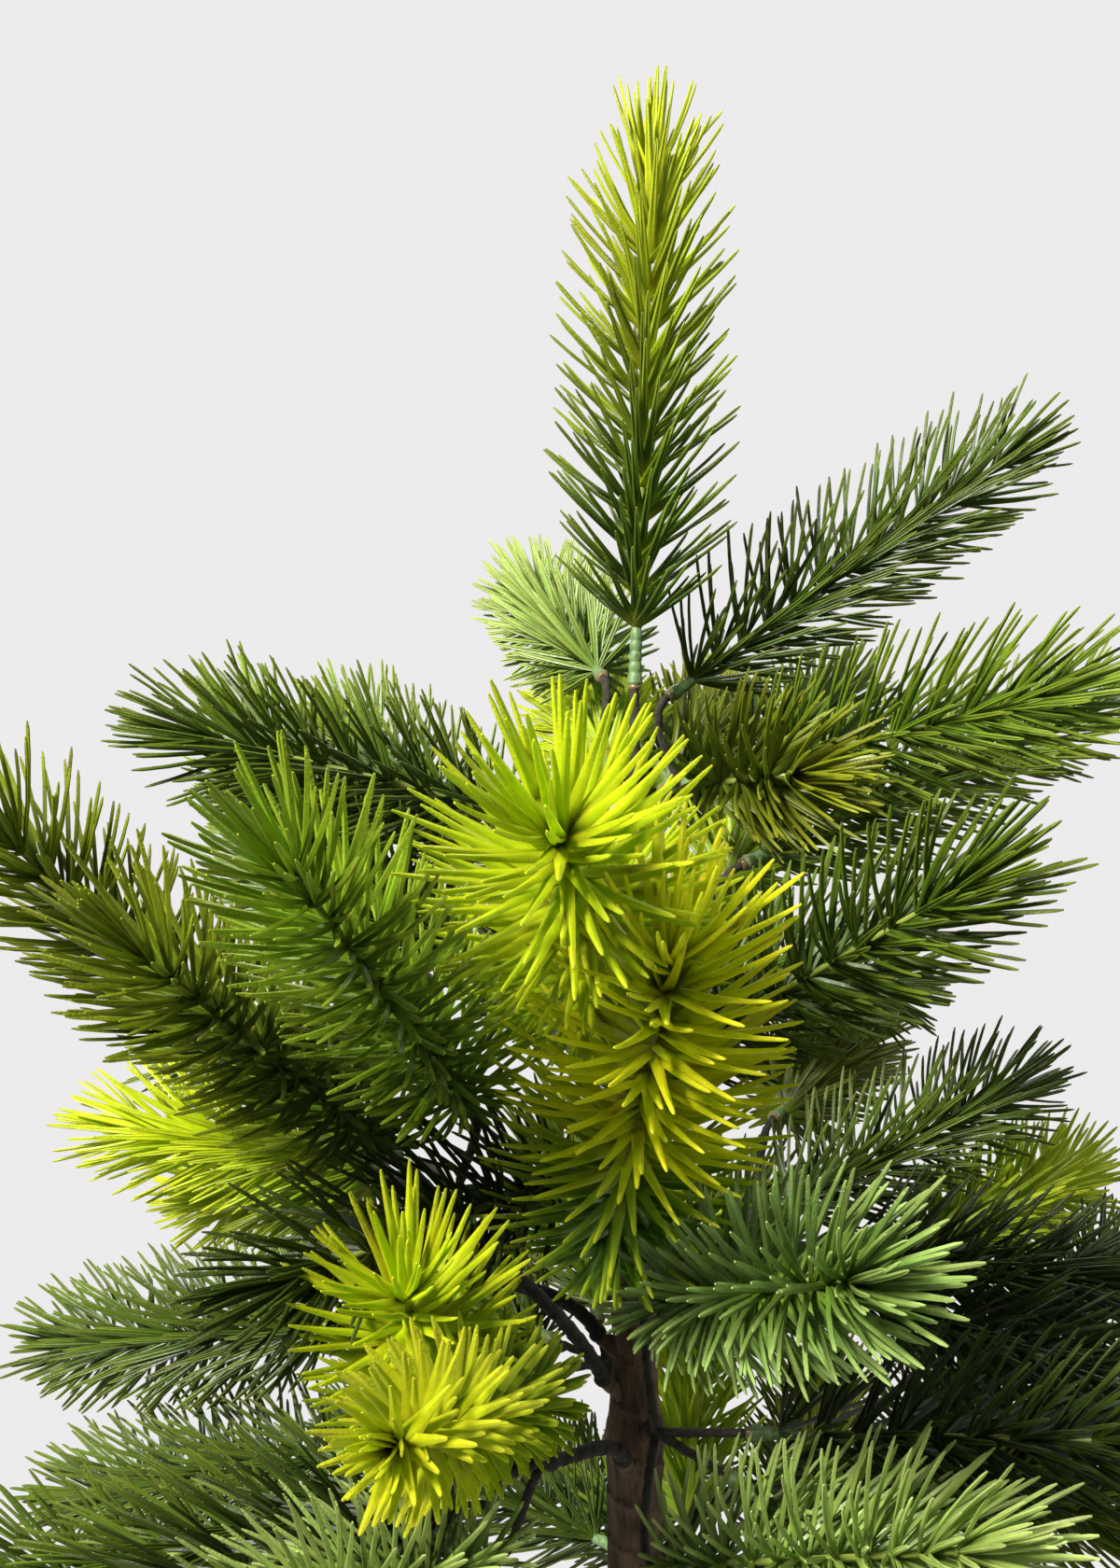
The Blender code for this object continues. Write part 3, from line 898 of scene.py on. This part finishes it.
def branch_joints():
    """Each branch's hinge: where its bead is and the azimuth in which it leaves the trunk."""
    found = {}
    for joint in frame["joints"]:
        x, y, _ = joint["axis"]
        found[joint["child"]] = (Vector(joint["pos_m"]), math.degrees(math.atan2(x, -y)))
    return found


def make_branch_stem(branch, bead, azimuth, mouths, further):
    """A branch's taped wires: from its bead to the fork, and a twig into each sprig's collar."""
    fork, middle = fork_of(branch, bead, mouths)
    onward = (middle - fork).normalized()
    reach = (fork - bead).length
    rise = direction(azimuth, STEM_RISE)
    girths = (STEM_GIRTH, STEM_GIRTH * 0.9)
    stem = bezier(bead, bead + rise * reach * 0.4, fork - onward * reach * 0.3, fork, girths)
    paths = [knuckle(bead, rise, BEAD_GIRTH * 0.98), stem, knuckle(fork, onward, BEAD_GIRTH)]
    for mouth, axis in mouths + further:
        start = mouth - axis * TWIG_LEAD
        span = (start - fork).length
        girths = (TWIG_GIRTH * 1.15, TWIG_GIRTH)
        twig = bezier(fork, fork + onward * span * 0.3, start - axis * span * 0.4, start, girths)
        twig.append((mouth + axis * WIRE_IN_COLLAR, TWIG_GIRTH))
        paths.append(twig)
    piece = grown(
        f"{branch}_taped_stem",
        merged_paths(branch, paths),
        TAPE,
        tape=STEM_TAPE,
        **STEM_WINDING,
    )
    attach(piece, branch)
    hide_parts(f"{branch}_stem")


def make_stems(further):
    joints = branch_joints()
    for branch, tones in TONES.items():
        bead, azimuth = joints[branch]
        mouths = [outline_axis(f"{branch}_sprig_{k}")[:2] for k in range(1, len(tones) + 1)]
        make_branch_stem(branch, bead, azimuth, mouths, further.get(branch, []))
    bead, _ = joints["leader"]
    mouth, axis, _ = outline_axis("leader_sprig")
    straight = [
        (bead, LEADER_WIRE_GIRTH * 1.3),
        (mouth, LEADER_WIRE_GIRTH),
        (mouth + axis * WIRE_IN_COLLAR, LEADER_WIRE_GIRTH),
    ]
    piece = grown(
        "leader_taped_stem",
        merged_paths("leader", [knuckle(bead, axis, BEAD_GIRTH * 0.98), straight]),
        TAPE,
        tape=STEM_TAPE,
        **LEADER_WINDING,
    )
    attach(piece, "leader")
    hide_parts("leader_stem")


def make_trunk():
    """The wound trunk and a taped stub to each branch's bead."""
    outline = [(Vector((0, 0, height)), girth) for girth, height in TRUNK_OUTLINE]
    girth, height = TRUNK_OUTLINE[-1]
    outline.append((Vector((0, 0, height + 1 * MM)), girth * 0.6))
    trunk = grown(
        "wound_trunk",
        merged_paths("trunk", [outline]),
        TAPE,
        tape=TRUNK_TAPE,
        **TRUNK_WINDING,
    )
    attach(trunk, "trunk")
    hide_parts("trunk_wrap")
    paths = []
    for branch, (bead, azimuth) in branch_joints().items():
        if branch == "leader":
            continue
        out = direction(azimuth, STUB_RISE)
        climb = out.z * Vector((bead.x, bead.y)).length / math.cos(math.radians(STUB_RISE))
        root = Vector((0, 0, bead.z - climb))
        paths.append([
            (root, STEM_GIRTH * 1.5),
            (root.lerp(bead, 0.6), STEM_GIRTH * 1.25),
            (bead, STEM_GIRTH * 1.02),
        ])
    stubs = grown(
        "branch_stubs",
        merged_paths("stubs", paths),
        TAPE,
        tape=TRUNK_TAPE,
        **STUB_WINDING,
    )
    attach(stubs, "trunk")


# ----------------------------------------------------------------------------------------- the foot


def turned(name, profile, sides, mat):
    """A shell turned about Z from (radius, height) points, closed on the axis or round a hole."""
    bm = bmesh.new()
    rings = []
    for radius, height in profile:
        count = sides if radius > 0 else 1
        angles = [math.tau * k / sides for k in range(count)]
        rings.append([bm.verts.new((radius * math.cos(a), radius * math.sin(a), height)) for a in angles])
    if profile[0][0] > 0:
        rings.append(rings[0])
    for low, high in zip(rings, rings[1:]):
        for k in range(sides):
            corners = [ring[i % len(ring)] for ring, i in ((low, k), (low, k + 1), (high, k + 1), (high, k))]
            bm.faces.new(list(dict.fromkeys(corners)))
    bmesh.ops.recalc_face_normals(bm, faces=bm.faces)
    mesh = bpy.data.meshes.new(name)
    bm.to_mesh(mesh)
    bm.free()
    mesh.shade_smooth()
    mesh.set_sharp_from_angle(angle=math.radians(40))
    mesh.materials.append(mat)
    ob = bpy.data.objects.new(name, mesh)
    bpy.context.scene.collection.objects.link(ob)
    return ob


def rounded(points, radius, steps=5):
    """The outline with an arc in place of each corner between its two ends."""
    made = [points[0]]
    for before, corner, after in zip(points, points[1:], points[2:]):
        p, a, b = Vector(corner), Vector(before), Vector(after)
        cut = min(radius, (a - p).length * 0.45, (b - p).length * 0.45)
        start, end = p + (a - p).normalized() * cut, p + (b - p).normalized() * cut
        for k in range(steps + 1):
            t = k / steps
            made.append(tuple(start * (1 - t) ** 2 + p * 2 * t * (1 - t) + end * t**2))
    made.append(points[-1])
    return made


def make_pot():
    """The pot's shell: its underside and foot ring, up its side to the rolled rim, and down inside."""
    low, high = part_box("pot")
    lip = high.x
    rim, foot = high.z, low.z
    outline = [
        (0, foot + POT_EDGE),
        (POT_FLOOR_RADIUS, foot + POT_EDGE),
        (POT_RING_RADII[0], foot),
        (POT_RING_RADII[1], foot),
        (POT_SHOULDER_RADIUS, rim - 10 * MM),
        (lip - 0.4 * MM, rim - 8 * MM),
        (lip, rim - 1 * MM),
        (lip - 1.5 * MM, rim),
        (lip - 2 * POT_WALL + 1 * MM, rim),
        (POT_INNER_RADIUS, foot + 4 * MM),
        (0, foot + 4 * MM),
    ]
    pot = turned("pot_shell", rounded(outline, POT_EDGE), 128, pot_plastic())
    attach(pot, "trunk")
    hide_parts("pot")


def moss_tree():
    """Moss: lumps over the cover and short curled tufts standing on its upper side."""
    tree, given, out = group("moss", (
        ("Tuft", "Object"),
        ("Density", "Float"),
        ("Lump", "Float"),
        ("Fibre", "Material"),
    ))
    normal = add(tree, "GeometryNodeInputNormal").outputs[0]
    up = add(tree, "ShaderNodeSeparateXYZ", normal).outputs[2]
    top = calc(tree, "GREATER_THAN", up, 0.25)
    rough = add(tree, "ShaderNodeTexNoise", None, None, 95.0, 4.0).outputs[0]
    push = add(tree, "ShaderNodeVectorMath", normal, operation="SCALE")
    lump = calc(tree, "MULTIPLY", calc(tree, "SUBTRACT", rough, 0.45), given["Lump"])
    tree.links.new(calc(tree, "MULTIPLY", lump, top), push.inputs["Scale"])
    ground = add(tree, "GeometryNodeSetPosition", given["Geometry"], None, None, push.outputs[0])
    ground = ground.outputs[0]
    scatter = add(tree, "GeometryNodeDistributePointsOnFaces", ground, top)
    tree.links.new(given["Density"], scatter.inputs["Density"])
    tuft = add(tree, "GeometryNodeObjectInfo", given["Tuft"]).outputs["Geometry"]
    spin = add(tree, "FunctionNodeRandomValue", None, None, 0.0, math.tau).outputs[1]
    lean = add(tree, "FunctionNodeRandomValue", None, None, -0.6, 0.6).outputs[1]
    turned_by = add(tree, "ShaderNodeCombineXYZ", lean, 0.0, spin).outputs[0]
    sizes = add(tree, "FunctionNodeRandomValue", None, None, 0.55, 1.25)
    sizes.inputs["Seed"].default_value = 4
    points, size = scatter.outputs[0], sizes.outputs[1]
    tufts = add(tree, "GeometryNodeInstanceOnPoints", points, None, tuft, None, None, turned_by, size)
    tufts = add(tree, "GeometryNodeRealizeInstances", tufts.outputs[0]).outputs[0]
    both = tree.nodes.new("GeometryNodeJoinGeometry")
    tree.links.new(ground, both.inputs[0])
    tree.links.new(tufts, both.inputs[0])
    made = add(tree, "GeometryNodeSetMaterial", both.outputs[0], None, given["Fibre"]).outputs[0]
    tree.links.new(made, out.inputs[0])
    return tree


def moss_tuft():
    """Five short curled fibres from one root."""
    bm = bmesh.new()
    for k in range(5):
        out = direction(k * 72 + 20 * (k % 2), 35 + 12 * (k % 3))
        side = out.cross(Vector((0, 0, 1))).normalized() * 0.28 * MM
        thick = out.cross(side).normalized() * 0.22 * MM
        rings = []
        for step in range(4):
            t = step / 3
            centre = out * FIBRE_LENGTH * t + Vector((0, 0, 1)) * FIBRE_CURL * math.sin(math.pi * t)
            taper = 1 - 0.6 * t
            corners = (side * taper, thick * taper, -side * taper, -thick * taper)
            rings.append([bm.verts.new(centre + corner) for corner in corners])
        for low, high in zip(rings, rings[1:]):
            for c in range(4):
                bm.faces.new((low[c], low[(c + 1) % 4], high[(c + 1) % 4], high[c]))
        bm.faces.new(rings[0])
        bm.faces.new(rings[-1])
    bmesh.ops.recalc_face_normals(bm, faces=bm.faces)
    mesh = bpy.data.meshes.new("moss_tuft")
    bm.to_mesh(mesh)
    bm.free()
    mesh.shade_smooth()
    tuft = bpy.data.objects.new("moss_tuft", mesh)
    bpy.context.scene.collection.objects.link(tuft)
    return tuft


def make_moss():
    low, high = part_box("moss_cover")
    edge = high.x
    outline = [(MOSS_HOLE, low.z), (edge - 2 * MM, low.z)]
    for k in range(MOSS_STEPS + 1):
        t = k / MOSS_STEPS
        radius = edge - 0.6 * MM - (edge - 0.6 * MM - MOSS_HOLE) * t
        outline.append((radius, low.z + MOSS_SIDE + MOSS_CROWN * math.sin(t * math.pi / 2)))
    fibre = moss_fibre()
    base = turned("moss_base", outline, 96, fibre)
    tuft = moss_tuft()
    moss = grown(
        "moss_bed",
        base.data,
        moss_tree(),
        tuft=tuft,
        density=MOSS_DENSITY,
        lump=MOSS_LUMP,
        fibre=fibre,
    )
    bpy.data.objects.remove(base)
    bpy.data.objects.remove(tuft)
    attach(moss, "trunk")
    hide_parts("moss_cover")


def refinish(node, mat):
    mesh = frame["nodes"][node].data
    mesh.materials.clear()
    mesh.materials.append(mat)


def make_inner_pieces():
    """New finishes for the pad, the weight and the rod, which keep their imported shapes."""
    rubber = plain_finish(
        "pad_rubber", (0.012, 0.012, 0.012), (0.028, 0.027, 0.026), 900.0, (0.75, 0.95), 0.0, 0.0002)
    cement = plain_finish(
        "cement", (0.24, 0.23, 0.21), (0.42, 0.41, 0.38), 160.0, (0.85, 1.0), 0.0, 0.001)
    steel = plain_finish(
        "rod_steel", (0.42, 0.42, 0.43), (0.60, 0.60, 0.61), 600.0, (0.25, 0.45), 1.0, 0.0001,
        (1, 1, 0.05))
    refinish("base_pad", rubber)
    refinish("cast_weight", cement)
    refinish("trunk_rod", steel)


# ------------------------------------------------------------------------------------------ the set


def make_set():
    """The pale floor under the pot."""
    bm = bmesh.new()
    bmesh.ops.create_circle(bm, cap_ends=True, radius=FLOOR_RADIUS, segments=96)
    mesh = bpy.data.meshes.new("floor")
    bm.to_mesh(mesh)
    bm.free()
    mat, tree, shader = material("floor_paper")
    grain = noise(tree, object_place(tree), 300.0)
    colour = mixed(tree, grain, (0.50, 0.49, 0.495), (0.54, 0.53, 0.535))
    tree.links.new(colour, shader.inputs["Base Color"])
    shader.inputs["Roughness"].default_value = 0.9
    mesh.materials.append(mat)
    floor = bpy.data.objects.new("floor", mesh)
    bpy.context.scene.collection.objects.link(floor)


def make_lights():
    """A pale backdrop that casts little light, a small hard key from the front left, and two fills."""
    world = bpy.data.worlds.new("studio")
    bpy.context.scene.world = world
    world.use_nodes = True
    tree = world.node_tree
    tree.nodes.clear()
    seen = add(tree, "ShaderNodeBackground", (0.846, 0.832, 0.839, 1), 1.0)
    cast = add(tree, "ShaderNodeBackground", (0.93, 0.96, 1.0, 1), 0.10)
    by_camera = add(tree, "ShaderNodeLightPath").outputs["Is Camera Ray"]
    shown = add(tree, "ShaderNodeMixShader", by_camera, cast.outputs[0], seen.outputs[0])
    out = tree.nodes.new("ShaderNodeOutputWorld")
    tree.links.new(shown.outputs[0], out.inputs["Surface"])

    def area(name, place, target, size, power, colour):
        data = bpy.data.lights.new(name, "AREA")
        data.shape = "DISK"
        data.size = size
        data.energy = power
        data.color = colour
        lamp = bpy.data.objects.new(name, data)
        bpy.context.scene.collection.objects.link(lamp)
        lamp.location = place
        lamp.rotation_euler = (Vector(target) - Vector(place)).to_track_quat("-Z", "Y").to_euler()

    area("key", (-0.85, -1.0, 1.30), (0, 0, 0.38), 0.3, 56.0, (1.0, 0.98, 0.94))
    area("side", (0.95, 0.1, 0.9), (0, 0, 0.38), 0.5, 3.5, (0.95, 0.98, 1.0))
    area("back", (0.1, 1.0, 1.1), (0, 0, 0.40), 0.5, 5.0, (1.0, 1.0, 1.0))


def make_camera():
    """The photo's close, level view of the upper tree."""
    data = bpy.data.cameras.new("camera")
    data.lens = CAMERA_LENS
    data.sensor_width = 36.0
    camera = bpy.data.objects.new("camera", data)
    bpy.context.scene.collection.objects.link(camera)
    camera.location = CAMERA_PLACE
    camera.rotation_euler = (math.radians(90), 0, 0)
    bpy.context.scene.camera = camera


make_camera()
make_set()
make_lights()
make_leader()
make_branch_sprigs()
make_stems(make_further_sprigs())
make_trunk()
make_pot()
make_moss()
make_inner_pieces()
for needle in BLANKS.values():
    bpy.data.objects.remove(needle)
bpy.context.scene.view_settings.view_transform = "Standard"
